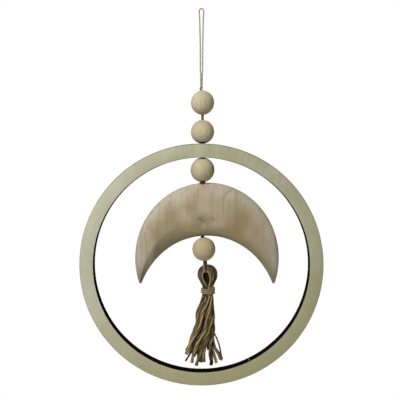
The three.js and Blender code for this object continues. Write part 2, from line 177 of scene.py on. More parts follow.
def resampled(points, step):
    """A smooth line through points, with a row every step metres. A row is x, y, z, radius and shade."""
    points = np.array(points, float)
    padded = np.vstack([2 * points[0] - points[1], points, 2 * points[-1] - points[-2]])
    fine = []
    for a, b, c, d in zip(padded, padded[1:], padded[2:], padded[3:]):
        knots = np.cumsum([0] + [
            max(1e-9, np.linalg.norm(q[:3] - p[:3])) ** 0.5 for p, q in ((a, b), (b, c), (c, d))
        ])
        for share in np.linspace(0, 1, 12, endpoint=False):
            t = lerp(knots[1], knots[2], share)

            def between(p, q, i, j):
                return (p * (knots[j] - t) + q * (t - knots[i])) / (knots[j] - knots[i])

            low, middle, high = between(a, b, 0, 1), between(b, c, 1, 2), between(c, d, 2, 3)
            fine.append(between(between(low, middle, 0, 2), between(middle, high, 1, 3), 1, 2))
    fine.append(points[-1])
    fine = np.array(fine)
    travelled = distances(fine)
    count = max(3, round(travelled[-1] / step) + 1)
    at = np.linspace(0, travelled[-1], count)
    return np.stack([np.interp(at, travelled, column) for column in fine.T], 1)


def laid(name, lines, material, plies, lay, groove=0.22, sides=6):
    """One mesh of laid strands, one along each line, whose plies go round once every lay metres. The UV map
    holds the share round the strand and the metres along it, and the attribute shade how light it is."""
    around = plies * sides
    angles = np.arange(around) * 2 * math.pi / around
    lobes = 1 - groove * (1 - abs(np.cos(plies * angles / 2)))
    vertices, faces, uvs, shades = [], [], [], []
    for line in lines:
        base = len(vertices)
        tangents = np.gradient(line[:, :3], axis=0)
        tangents /= np.linalg.norm(tangents, axis=1)[:, None]
        side = np.array([0.0, 1.0, 0.0]) if abs(tangents[0][1]) < 0.8 else np.array([1.0, 0.0, 0.0])
        reached = distances(line)
        for row, tangent, travelled in zip(line, tangents, reached):
            side = side - tangent * (side @ tangent)
            side /= np.linalg.norm(side)
            other = np.cross(tangent, side)
            turn = angles + 2 * math.pi * travelled / lay
            rim = row[:3] + (row[3] * lobes)[:, None] * (
                np.cos(turn)[:, None] * side + np.sin(turn)[:, None] * other
            )
            vertices.extend(rim.tolist())
            shades.extend([row[4]] * around)
        for i in range(len(line) - 1):
            for j in range(around):
                a, b = base + i * around + j, base + i * around + (j + 1) % around
                faces.append((a, b, b + around, a + around))
                low, high = reached[i], reached[i + 1]
                u, v = j / around, (j + 1) / around
                uvs.extend([(u, low), (v, low), (v, high), (u, high)])
        for end, row, height in ((0, line[0], 0.0), (len(line) - 1, line[-1], reached[-1])):
            centre = len(vertices)
            vertices.append(row[:3].tolist())
            shades.append(row[4])
            first = base + end * around
            for j in range(around):
                rim = (first + j, first + (j + 1) % around)
                faces.append((centre, *(rim if end else rim[::-1])))
                uvs.extend([(0.5, height)] * 3)
    mesh = bpy.data.meshes.new(name)
    mesh.from_pydata(vertices, [], faces)
    mesh.uv_layers.new(name="strand").data.foreach_set("uv", np.array(uvs, float).ravel())
    mesh.attributes.new("shade", "FLOAT", "POINT").data.foreach_set("value", np.array(shades, float))
    mesh.shade_smooth()
    mesh.materials.append(material)
    piece = bpy.data.objects.new(name, mesh)
    bpy.context.scene.collection.objects.link(piece)
    return piece


def hanging_route(foot):
    """Up from foot through the first bead to the loop's top, and back down to foot. Below the loop the legs
    lie side by side, pressed together, and they cross inside the first bead."""
    half = LOOP_WIDTH / 2
    crown = TWINE / 2 - half
    legs = [(0, 0, TWINE / 2), (half * math.sqrt(0.5), 0, crown + half * math.sqrt(0.5)), (half, 0, crown)]
    narrowing = [(8, 2.4), (20, 2.05), (40, 1.6), (60, 1.4), (74, 1.3)]  # mm down, and mm from the middle
    legs += [(spread * MM, 0, -drop * MM) for drop, spread in narrowing]
    z = -LEGS_MEET
    while z > foot:
        crossed = ease((-LOOP_DROP - 3 * MM - z) / (20 * MM))
        wriggle = 0.35 * math.sin((z + LEGS_MEET) / (3.2 * MM))
        turn = math.pi * crossed - wriggle
        apart = lerp(PRESSED_OFFSET, STRAND_OFFSET, ease((bead_top[1] - z) / (2 * MM)))
        legs.append((apart * math.cos(turn), apart * math.sin(turn), z))
        z -= 1.6 * MM
    legs.append((-STRAND_OFFSET, 0, foot))
    shift = [LINE_X * ease((-z - LOOP_DROP + 3 * MM) / (20 * MM)) for _, _, z in legs]
    down = [(aside + x, y, z) for aside, (x, y, z) in zip(shift, legs)]
    up = [(aside - x, -y, z) for aside, (x, y, z) in zip(shift, legs)][1:]
    return up[::-1] + down


def hanging_twine():
    """The free loop and its short pale tail."""
    foot = bead_top[1] - 1.5 * MM
    rows = []
    for x, y, z in hanging_route(foot):
        # Darker below the loop
        below_loop = ease((-z - LOOP_DROP) / (20 * MM))
        rows.append((x, y, z, TWINE / 2, 0.85 - 0.9 * below_loop))
    line = resampled(rows, 0.45 * MM)
    tail = [
        (-0.8, -1.0, -93, 0.5), (-1.4, -1.2, -94.8, 0.6), (-1.9, -1.2, -96.6, 0.7), (-1.8, -1.2, -98.3, 0.6),
    ]
    tail_rows = [(x * MM, y * MM, z * MM, radius * MM, 1.0) for x, y, z, radius in tail]
    lines = [line, resampled(tail_rows, 0.45 * MM)]
    piece = laid("hanging_twine", lines, twine_fibre, plies=3, lay=TWINE_LAY, sides=4)
    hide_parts("hanging_loop")
    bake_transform(piece)


def stem_twine():
    """The two strands hidden in the second bead, the ring, the third bead and the knot."""
    lines = []
    for side in (-1, 1):
        x = LINE_X + side * STRAND_OFFSET
        ends = [(x, 0, z, TWINE / 2, 0.4) for z in (bead_top[1] - 2 * MM, RING_Z + RING_RADIUS, knot_low.z)]
        lines.append(resampled(ends, 0.6 * MM))
    piece = laid("stem_twine", lines, twine_fibre, plies=3, lay=TWINE_LAY, sides=4)
    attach(piece, "stem")
    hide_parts("cord_left", "cord_right")


def lower_route():
    """Down through the crescent and the fourth bead, forward round the folded yarns, and back up behind."""
    top = Vector((LINE_X, 0, knot_low.z + 0.6 * MM))
    line = [
        (top, RIGHT),
        (top + DOWN * ((top.z - crescent_foot) / 2), RIGHT),
        (line_foot - DOWN * 6 * MM, RIGHT),
        (line_foot, (RIGHT + across_leaning).normalized()),
        (line_foot + leaning * (LOWER_GAP + 4 * MM), across_leaning),
        (fourth_bead, across_leaning),
        (fourth_foot, across_leaning),
    ]
    head_pitch = YARN_HEAD + YARN_GAP
    head_depth = (YARN_LAYERS[0] - 1) / 2 * head_pitch + YARN_HEAD / 2 + YARN_GAP + TWINE / 2
    # Sideways in strand offsets, forwards in head depths, and mm above the bight's foot
    parting = [(1, 0.1, 13.9), (1.05, 0.38, 12.6), (1.1, 0.74, 10.4), (1.15, 1, 7.9)]
    closing = {
        -1: [(1.15, 1.13, 6.2), (1, 1.16, 4.8), (0.6, 1.06, 3.5), (0.2, 0.84, 2.2), (0, 0.4, 0.6)],
        1: [(1.15, 1.13, 5.8), (1, 1.16, 3.8), (0.6, 1.06, 2.1), (0.2, 0.84, 0.6), (0, 0.4, 0)],
    }
    routes = []
    for side in (-1, 1):
        route = [centre + across * side * STRAND_OFFSET for centre, across in line]
        route += [
            bight_foot + Vector((side * STRAND_OFFSET * sideways, side * head_depth * forward, up * MM))
            for sideways, forward, up in parting + closing[side]
        ]
        routes.append(route)
    return routes[0] + [bight_foot] + routes[1][::-1]


def lower_twine():
    """The doubled twine below the knot: painted shade darkens it below the fourth bead, and painted light
    lightens it in front of the tassel's head.
    """
    rows = []
    for place in lower_route():
        swollen = ease((knot_low.z - place.z) / (20 * MM))
        below = ease((fourth_foot.z - place.z) / (2 * MM))
        width = lerp(lerp(TWINE, LOWER_TWINE, swollen), BARE_TWINE, below)
        # Painted light on the strand in front of the head, painted shade below the fourth bead
        in_front = ease((fourth_foot.z - place.z - 3 * MM) / (6 * MM)) * (place.y < -2 * MM)
        width = lerp(width, BIGHT_TWINE, ease((bight_foot.z + 5 * MM - place.z) / (4 * MM)))
        rows.append((*place, width / 2, lerp(lerp(0.6, 0.35, below), 1.15, in_front)))
    piece = laid("lower_twine_laid", [resampled(rows, 0.5 * MM)], brown_twine, plies=3, lay=6 * MM, sides=4)
    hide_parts("lower_twine")
    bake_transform(piece)


def knot():
    """The knot under the third bead, and its short frayed ends in front, in the crescent's mouth."""
    middle = (knot_low + knot_high) / 2
    turns, steps = 1.8, 44
    coil = []
    for i in range(steps + 1):
        turn = 2 * math.pi * turns * i / steps
        reach = 3.0 * MM + 0.12 * MM * math.sin(3 * turn)
        coil.append((
            middle.x + reach * math.cos(turn), reach * math.sin(turn),
            middle.z + 0.2 * MM * math.sin(1.5 * turn), 0.95 * MM, 0.12,
        ))
    frays = [
        [(-1.8, -1.8, 0.9), (-1.9, -3.2, 1.1), (-1.95, -3.6, 0.4), (-2, -3.7, -0.5)],
        [(-0.3, -2.4, 0.9), (-0.3, -3.7, 1.1), (-0.4, -4.05, 0.1), (-0.5, -4.2, -1.3)],
        [(1.8, -2.2, 0.9), (2.1, -3.3, 1.1), (2.25, -3.4, 0.4), (2.3, -3.5, -0.5)],
        [(2.8, -1.6, 0.9), (3.2, -2.1, 1.1), (3.45, -2.15, 0.4), (3.6, -2.2, -0.5)],
    ]
    fray_radii = (0.8, 0.8, 0.65, 0.45)
    lines = [resampled(coil, 0.5 * MM)]
    for fray in frays:
        rows = [
            (middle.x + x * MM, y * MM, middle.z + z * MM, radius * MM, 0.3)
            for (x, y, z), radius in zip(fray, fray_radii)
        ]
        lines.append(resampled(rows, 0.4 * MM))
    piece = laid("knot_laid", lines, brown_twine, plies=3, lay=4 * MM, sides=4)
    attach(piece, "stem")
    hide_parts("knot")


# Tassel, about the middle of its fold

YARN_PITCH = YARN_NECK + YARN_GAP
HEAD_PITCH = YARN_HEAD + YARN_GAP
NECK_TOP = -HEAD_DROP
NECK_LENGTH = WRAP_TURNS * (WRAP + WRAP_GAP) + WRAP

# Where the front nine cut ends hang, in mm right of and below the fold's middle, and how full each is
FRONT_ENDS = [
    (-25.6, 102.0, 1.15), (-24.8, 110.9, 0.6), (-18.4, 111.6, 1.0), (-13.0, 114.9, 1.05), (-8.1, 110.1, 1.15),
    (-3.3, 110.3, 1.05), (5.2, 114.0, 1.25), (13.4, 112.5, 0.9), (20.0, 109.7, 1.25),
]
# Where the plies in the middle of the skirt end, in the same way
INNER_ENDS = [
    (-19, 94), (-16.8, 102), (-14, 107), (-10.4, 108), (-6.4, 108), (-2.2, 99), (1.8, 98), (6.6, 98),
]
# The skirt's outline in mm: how far below the fold, its left and right edges, and half its depth
SKIRT_OUTLINE = [
    (25.8, -4.9, 10.4, 5.2), (32, -7.2, 11.2, 5.8), (40, -9.6, 11, 6.6), (51, -13.7, 10.7, 7.4),
    (62, -14.1, 12.6, 8), (72, -17, 12.6, 8.6), (80, -20.8, 11.8, 9.2), (90, -23.7, 12.5, 10),
    (101, -28.4, 17.5, 11), (112, -28.8, 22.2, 11.5),
]
YARN_COUNT = sum(YARN_LAYERS)


def depth_at(layer, slot, pitch):
    """How far behind the tassel's middle a yarn lies."""
    return (slot - (YARN_LAYERS[layer] - 1) / 2) * pitch


def column_at(layer):
    """How far left or right of the neck's middle a layer lies."""
    return YARN_PITCH * (0.5 + layer * HEX_ROW)


def skirt_oval(drop):
    """The oval round which the yarns' middles lie at one height: its middle, half width and half depth."""
    drops, *edges = zip(*SKIRT_OUTLINE)
    left, right, deep = (np.interp(drop / MM, drops, edge) * MM for edge in edges)
    return (left + right) / 2, (right - left) / 2 - FULL_SKIRT / 2, deep - FULL_SKIRT / 2


def yarn_places():
    """Layer, slot and number of each yarn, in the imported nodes' order."""
    places = [(layer, slot) for layer, count in enumerate(YARN_LAYERS) for slot in range(count)]
    return [(*place, number) for number, place in enumerate(places, start=1)]


def foot_angle(x, drop, front):
    """Where a cut end at x and drop lies round the skirt's oval."""
    middle, wide, _ = skirt_oval(drop)
    angle = math.acos(max(-1.0, min(1.0, (x - middle) / wide)))
    return -angle if front else angle


def cut_ends():
    """For each half yarn: its drop, its angle round the skirt at neck and foot, how full, how light and how
    far out it is. The yarns keep their order round the skirt, and all turn to the left in front."""
    feet = []
    for i, (x, drop, full) in enumerate(FRONT_ENDS):
        shade = 0.55 + 0.42 * math.sin(2.6 * i + 1.9)
        feet.append((drop * MM, foot_angle(x * MM, drop * MM, True), full, shade))
    # The rear ends hang between the front ones, and are far shorter where a gap would show them
    for i in range(len(FRONT_ENDS) - 1, -1, -1):
        (x, drop, _), (next_x, next_drop, _) = FRONT_ENDS[max(i - 1, 0)], FRONT_ENDS[i]
        shorter = 17 if next_x - x > 6 else 4
        drop, x = (min(drop, next_drop) - shorter) * MM, (x + next_x) / 2 * MM
        feet.append((drop, foot_angle(x, drop, False), 1.0, 0.42 + 0.25 * math.sin(2.2 * i)))
    starts = {}
    for layer, slot, number in yarn_places():
        for side in (-1, 1):
            starts[number, side] = math.atan2(depth_at(layer, slot, YARN_PITCH), side * column_at(layer))
    ends = {}
    for i, end in enumerate(sorted(starts, key=starts.get)):
        drop, angle, full, shade = feet[(i - SKIRT_TURN) % (2 * YARN_COUNT)]
        if angle > starts[end]:
            angle -= 2 * math.pi
        ends[end] = (drop, starts[end], angle, full, shade, 0.62 if i % 2 else 1.0)
    return ends


def fold_row(layer, slot, angle, number):
    """A point of a yarn's fold. The head is looser on the right. Its rear yarns lie close on the twine."""
    right = (1 + math.cos(angle)) / 2
    looseness = 1 + HEAD_FLARE * right
    stagger = 0.5 * right * (slot % 2) if layer < 2 else 0
    radius = EYE_HALF + YARN_HEAD / 2 + (layer + stagger) * HEAD_PITCH * HEX_ROW * looseness
    place = Vector((radius * math.cos(angle), 0, radius * math.sin(angle)))
    head_y = depth_at(layer, slot, HEAD_PITCH)
    if head_y > 0:
        close = (LOWER_TWINE + FULL_HEAD) / 2 + layer * 2.6 * MM
        aside = (0.8 if slot % 2 else -0.8) * MM
        round_twine = Vector((0.72 * close * math.cos(angle) + aside, 0, close * math.sin(angle)))
        place = place.lerp(bight_foot - FOLD + round_twine, 0.9)
    place.y = head_y
    return (*(FOLD + place), FULL_HEAD / 2, head_shade(head_y, layer, number))


def head_shade(head_y, layer, number):
    """Painted light and shade on the head: light in front and next to the eye, darker outwards, and a painted
    shadow, the darkest, in the eye's back.
    """
    return -0.1 if head_y > 0 else 0.6 - 0.24 * layer + 0.2 * math.sin(1.9 * number)


def kink(drop, phase):
    """How far a limp yarn strays sideways at one height, for it keeps the kinks of its winding."""
    sideways = 0.5 * MM * math.sin(drop / (5.3 * MM) + 1.9 * phase)
    sideways += 0.25 * MM * math.sin(drop / (2.3 * MM) + phase)
    return Vector((sideways, 0.5 * MM * math.sin(drop / (4.1 * MM) + 2.7 * phase), 0))


def yarn_half(layer, slot, number, side, ends):
    """One half of a yarn, from its cut end up to the springing of the fold."""
    column, depth = side * column_at(layer), depth_at(layer, slot, YARN_PITCH)
    end_drop, start, finish, full, shade, outness = ends[number, side]
    neck_drop = NECK_LENGTH - NECK_TOP
    _, wide, deep = skirt_oval(neck_drop)
    spread = math.hypot(column / wide, depth / deep)
    rows, steps = [], 24
    for i in range(steps, 0, -1):
        t = i / steps
        drop = lerp(neck_drop, end_drop, t)
        angle = lerp(start, finish, t**0.85)
        middle, wide, deep = skirt_oval(drop)
        out = lerp(lerp(spread, 1, ease(3 * t)), 1, t * t) * lerp(outness, 1, t**3)
        out += 0.04 * t * math.sin(9 * t + 2.3 * number + side)
        place = Vector((middle + out * wide * math.cos(angle), out * deep * math.sin(angle), -drop))
        place += kink(drop, 3.1 * number + side) * ease(3 * t)
        bulge = 1 + 0.06 * math.sin(drop / (3.4 * MM) + 1.7 * number - side)
        radius = lerp(FULL_NECK, FULL_SKIRT * lerp(1, full, t * t), ease(2.4 * t)) / 2 * bulge
        patchy = 0.12 * math.sin(drop / (5 * MM) + 2.1 * number + side)
        # Painted light: lighter just under the winding and round the skirt's right side; patchy is the yarns'
        # own uneven tone
        light = shade + 0.3 * (1 - ease(3 * t)) - 0.06 + patchy
        light += 0.3 * ease(2 * math.cos(angle) - 0.9)
        rows.append((*(FOLD + place), radius, light))
    for z in (-neck_drop, NECK_TOP):
        rows.append((*(FOLD + Vector((NECK_SHIFT + column, depth, z))), FULL_NECK / 2, shade))
    springing = Vector(fold_row(layer, slot, 0 if side > 0 else math.pi, number)[:3]) - FOLD
    for i in range(1, 4):
        t = ease(i / 4)
        x = lerp(NECK_SHIFT + column, springing.x, t)
        if springing.y > 0:
            middle = (1.0 if slot % 2 else -0.9) * MM * (layer == 0) + NECK_SHIFT * (1 - i / 4)
            inwards = middle + side * FULL_HEAD / 2 * (0.95 + 1.5 * layer)
            x = lerp(x, inwards, math.sqrt(math.sin(math.pi * i / 4)))
        else:
            x += side * 0.9 * MM * math.sin(math.pi * i / 4)
        place = Vector((x, lerp(depth, springing.y, t), lerp(NECK_TOP, springing.z, i / 4)))
        radius = lerp(FULL_NECK, FULL_HEAD, t) / 2
        rows.append((*(FOLD + place), radius, head_shade(springing.y, layer, number)))
    return rows


def yarn(layer, slot, number, ends):
    left, right = (yarn_half(layer, slot, number, side, ends) for side in (-1, 1))
    fold = [fold_row(layer, slot, math.pi * (1 - i / 8), number) for i in range(9)]
    line = resampled(left + fold + right[::-1], 0.9 * MM)
    piece = laid(f"yarn_{number}_laid", [line], yarn_fibre, plies=2, lay=52 * MM, groove=0.42, sides=8)
    lighten_back(piece)
    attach(piece, "tassel")
    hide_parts(f"yarn_{number}")


def lighten_back(piece):
    """Lightens the faces that look back in the head, so that the painted shadow shows only inside the eye."""
    shades = piece.data.attributes["shade"].data
    for vertex in piece.data.vertices:
        if vertex.co.z > FOLD.z + NECK_TOP and vertex.normal.y > 0:
            light = shades[vertex.index]
            light.value = max(light.value, lerp(light.value, 0.45, ease(2 * vertex.normal.y)))


def inner_strands():
    """The plies in the middle of the skirt. Their dark colour is painted shade, which shows between the
    yarns.
    """
    lines, steps = [], 12
    for i, (x, drop) in enumerate(INNER_ENDS):
        deep = (1.5, -2.5)[i % 2] * MM
        rows = []
        for step in range(steps + 1):
            t = step / steps
            place = Vector((lerp(NECK_SHIFT + (i - 3) * 0.9 * MM, x * MM, t**1.15), deep * ease(2 * t), 0))
            place.z = -lerp(HEAD_DROP - 4 * MM, drop * MM, t)
            place += kink(-place.z, 1.3 * i) * ease(3 * t)
            radius = lerp(1.5, 2.3, ease(3 * t)) * lerp(1, 0.5, t**9) * MM
            # Painted shade: the middle plies are dark
            rows.append((*(FOLD + place), radius, 0.1))
        lines.append(resampled(rows, 1.2 * MM))
    piece = laid("inner_strands", lines, yarn_fibre, plies=2, lay=60 * MM, groove=0.42, sides=7)
    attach(piece, "tassel")


def loose_ply():
    """One ply that has come out of the skirt on the right and bows away from it."""
    bow = [
        (5.5, 66), (8.8, 71), (11.3, 76), (13.6, 81), (15.5, 86), (17.2, 92), (18.4, 98), (19.4, 104),
        (20, 109),
    ]
    rows = [(*(FOLD + Vector((x, -6.5, -drop)) * MM), 1.1 * MM, 0.35) for x, drop in bow]
    piece = laid("loose_ply", [resampled(rows, 0.6 * MM)], yarn_fibre, plies=2, lay=9 * MM, sides=5)
    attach(piece, "tassel")


def wrap_oval():
    """Half the width and depth of the smallest oval line that clears every yarn in the neck."""
    wide = column_at(len(YARN_LAYERS) - 1) + YARN_NECK / 2
    deep = depth_at(0, YARN_LAYERS[0] - 1, YARN_PITCH) + YARN_NECK / 2
    grow = 1
    for layer, slot, _ in yarn_places():
        for i in range(STEPS_ROUND):
            angle = 2 * math.pi * i / STEPS_ROUND
            x = column_at(layer) + YARN_NECK / 2 * math.cos(angle)
            y = depth_at(layer, slot, YARN_PITCH) + YARN_NECK / 2 * math.sin(angle)
            grow = max(grow, math.hypot(x / wide, y / deep))
    clear = YARN_GAP + 0.05 * MM + WRAP / 2
    return wide * grow + clear, deep * grow + clear


def tassel_wrap():
    """The winding round the neck. It starts in front and goes down as it goes round."""
    wide, deep = wrap_oval()
    steps = round(WRAP_TURNS * STEPS_ROUND)
    rows = []
    for i in range(steps + 1):
        angle = -math.pi / 2 + 2 * math.pi * i / STEPS_ROUND
        z = NECK_TOP - WRAP / 2 - (WRAP + WRAP_GAP) * i / STEPS_ROUND
        place = FOLD + Vector((NECK_SHIFT + wide * math.cos(angle), deep * math.sin(angle), z))
        rows.append((*place, FULL_WRAP / 2, 1.1))
    piece = laid("tassel_wrap_laid", [resampled(rows, 0.5 * MM)], yarn_fibre, plies=2, lay=6 * MM, sides=6)
    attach(piece, "tassel")
    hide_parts("tassel_wrap")


# Modelling by hand


def put_down():
    """Leaves edit mode, with nothing selected."""
    if bpy.context.mode != "OBJECT":
        bpy.ops.object.mode_set(mode="OBJECT")
    bpy.ops.object.select_all(action="DESELECT")


def alone(piece):
    put_down()
    piece.select_set(True)
    bpy.context.view_layer.objects.active = piece


def begin(name, primitive, **settings):
    """Adds a primitive, names it, puts its place and turn into its mesh, and opens it in edit mode."""
    put_down()
    primitive(**settings)
    piece = bpy.context.object
    piece.name = piece.data.name = name
    bpy.ops.object.transform_apply(location=True, rotation=True, scale=True)
    bpy.ops.object.mode_set(mode="EDIT")
    return piece


def choose(piece, kind, test):
    """In edit mode, selects only the verts, edges or faces that pass the test."""
    bpy.ops.mesh.select_mode(type=kind[:-1].upper())
    bpy.ops.mesh.select_all(action="DESELECT")
    mesh = bmesh.from_edit_mesh(piece.data)
    for element in getattr(mesh, kind):
        if test(element):
            element.select_set(True)
    bmesh.update_edit_mesh(piece.data)


def reshape(piece, move):
    """Moves each selected vertex to where move says."""
    mesh = bmesh.from_edit_mesh(piece.data)
    for vertex in mesh.verts:
        if vertex.select:
            vertex.co = move(vertex)
    bmesh.update_edit_mesh(piece.data)


def faced_outwards():
    """In edit mode, turns every face outwards."""
    bpy.ops.mesh.select_all(action="SELECT")
    bpy.ops.mesh.normals_make_consistent(inside=False)


def scaled(across, up):
    """Scales what is selected about the origin, sideways and upwards."""
    bpy.ops.transform.resize(value=(across, across, up), center_override=(0, 0, 0))


def with_modifier(piece, kind, **settings):
    """Adds a modifier and applies it."""
    alone(piece)
    modifier = piece.modifiers.new(kind.lower(), kind)
    for key, value in settings.items():
        setattr(modifier, key, value)
    bpy.ops.object.modifier_apply(modifier=modifier.name)


def drilled(piece, diameter, top, foot, x=LINE_X):
    """Cuts a hole along Z with a drill from top to foot."""
    drill = begin(
        "drill", bpy.ops.mesh.primitive_cylinder_add, vertices=40, radius=diameter / 2,
        depth=top - foot, location=(x, 0, (top + foot) / 2),
    )
    with_modifier(piece, "BOOLEAN", object=drill, operation="DIFFERENCE", solver="EXACT")
    bpy.data.objects.remove(drill)


def smoothed(piece, angle):
    alone(piece)
    bpy.ops.object.shade_smooth_by_angle(angle=math.radians(angle))


# Wood


def bead(number, body, lean):
    """A turned bead: a ball opened at both poles, with chamfered mouths and a bore between them."""
    name = f"bead_{number}"
    low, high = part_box(name)
    bore, mouth = BORE / 2, BORE / 2 + BEAD_MOUTH
    piece = begin(
        f"{name}_turned", bpy.ops.mesh.primitive_uv_sphere_add, segments=72, ring_count=48,
        radius=BEAD_WIDTHS[number - 1] / 2,
    )
    choose(piece, "verts", lambda v: math.hypot(v.co.x, v.co.y) < mouth - 0.3 * MM)
    bpy.ops.mesh.delete(type="VERT")
    rim = max(bmesh.from_edit_mesh(piece.data).verts, key=lambda v: v.co.z).co
    half_height = BEAD_HEIGHTS[number - 1] / 2
    bpy.ops.mesh.select_all(action="SELECT")
    scaled(1, half_height / rim.z)
    choose(piece, "edges", lambda e: e.is_boundary)
    scaled(mouth / math.hypot(rim.x, rim.y), 1)
    bpy.ops.mesh.extrude_region_move()
    scaled(bore / mouth, 1 - BEAD_MOUTH / half_height)
    bpy.ops.mesh.bridge_edge_loops(number_cuts=6)
    faced_outwards()
    bpy.ops.object.mode_set(mode="OBJECT")
    piece.location, piece.rotation_euler = (low + high) / 2, (0, lean, 0)
    bpy.ops.object.transform_apply(location=True, rotation=True, scale=True)
    smoothed(piece, 35)
    piece.data.materials.append(bead_wood)
    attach(piece, body)
    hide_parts(name)


def ring():
    """The flat ring: a disc with its faces inset, opened and bridged, rounded edges and a drilled top."""
    piece = begin(
        "ring_sawn", bpy.ops.mesh.primitive_cylinder_add, vertices=256, radius=RING_RADIUS,
        depth=RING_DEPTH, location=(0, 0, RING_Z), rotation=(math.pi / 2, 0, 0),
    )
    choose(piece, "faces", lambda f: abs(f.normal.y) > 0.9)
    bpy.ops.mesh.inset(thickness=RING_FACE, depth=0)
    bpy.ops.mesh.delete(type="FACE")
    choose(piece, "edges", lambda e: e.is_boundary)
    bpy.ops.mesh.bridge_edge_loops()
    faced_outwards()
    with_modifier(
        piece, "BEVEL", width=RING_EDGE, segments=3, limit_method="ANGLE", angle_limit=math.radians(40),
    )
    top = RING_Z + RING_RADIUS
    drilled(piece, BORE, top + 5 * MM, top - RING_FACE - 5 * MM)
    smoothed(piece, 30)
    piece.data.materials.append(ring_wood)
    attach(piece, "ring")
    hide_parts("ring")


def crescent_edge(t, size, rise):
    """A point of the outer or the hollow's oval, t of the way from the left horn's tip to the right one's."""
    tip = math.asin((OUTER_SIZE[1] - HORN_RISE - rise) / size[1])
    angle = lerp(math.pi - tip, tip, t)
    return Vector((size[0] * math.cos(angle), 0, rise + size[1] * math.sin(angle)))


def crescent_section(t, count):
    """A closed section, from the outer edge round the back to the inner edge and round the front again.
    On the left horn's front a flat bevel runs from a crisp ridge to the inner edge."""
    outer = crescent_edge(t, OUTER_SIZE, 0)
    inner = crescent_edge(t, HOLLOW_SIZE, HOLLOW_RISE)
    middle = (outer + inner) / 2
    reach = outer - middle
    share = math.sqrt(2 * reach.length / CRESCENT_BAND)
    half = CRESCENT_THICKNESS / 2 * share * (1 - LEFT_EXTRA * middle.x / OUTER_SIZE[0])
    ridge = -0.32
    bevelled = 1 - ease((t - 0.25) / 0.2)
    section = []
    for i in range(count):
        angle = 2 * math.pi * i / count
        cosine, sine = math.cos(angle), math.sin(angle)
        power = 2 / (2.5 if cosine > 0 else 3.3)
        across = math.copysign(abs(cosine) ** power, cosine)
        thick = abs(sine) ** power
        if sine < 0 and across < ridge:
            at_ridge = abs(math.sin(math.acos(-((-ridge) ** (1 / power))))) ** power
            flat = lerp(0.12, at_ridge, (across + 1) / (ridge + 1)) * min(1, (1 + across) / 0.03)
            thick = lerp(thick, min(flat, thick), bevelled)
        out = Vector((0, math.copysign(half * thick, sine), 0))
        section.append(CRESCENT_CENTRE + middle + reach * across + out)
    return section


def crescent():
    """Carved by drawing a section along the crescent, station after station, and closing it at the horns."""
    stations, count = 130, 72
    piece = begin("crescent_carved", bpy.ops.mesh.primitive_circle_add, vertices=count, radius=10 * MM)
    mesh = bmesh.from_edit_mesh(piece.data)
    place = mesh.verts.layers.int.new("place")
    for i, vertex in enumerate(sorted(mesh.verts, key=lambda v: math.atan2(v.co.y, v.co.x) % (2 * math.pi))):
        vertex[place] = i
    bmesh.update_edit_mesh(piece.data)
    bpy.ops.mesh.select_all(action="SELECT")
    for i in range(stations + 1):
        t = (1 - math.cos(math.pi * (i + 0.6) / (stations + 1.2))) / 2
        section = crescent_section(t, count)
        if i:
            bpy.ops.mesh.extrude_region_move()
        place = bmesh.from_edit_mesh(piece.data).verts.layers.int["place"]
        reshape(piece, lambda v: section[v[place]])
    for end in (-1, 1):
        for shrink, drop in ((0.75, 0.3 * MM), (0.4, 0.55 * MM)):
            choose(piece, "edges", lambda e: e.is_boundary and (e.verts[0].co.x > 0) == (end > 0))
            chosen = [v.co.copy() for v in bmesh.from_edit_mesh(piece.data).verts if v.select]
            centre = sum(chosen, Vector()) / len(chosen)
            bpy.ops.mesh.extrude_region_move()
            reshape(piece, lambda v: centre + (v.co - centre) * shrink + DOWN * drop)
        choose(piece, "edges", lambda e: e.is_boundary and (e.verts[0].co.x > 0) == (end > 0))
        bpy.ops.mesh.merge(type="CENTER")
    faced_outwards()
    drilled(piece, BORE, crescent_top + 5 * MM, crescent_foot - 5 * MM)
    drilled(piece, MOUTH, crescent_top + MOUTH_DEPTH, crescent_top - MOUTH_DEPTH)
    smoothed(piece, 28)
    piece.data.materials.append(crescent_wood)
    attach(piece, "crescent")
    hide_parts("crescent")


# Materials


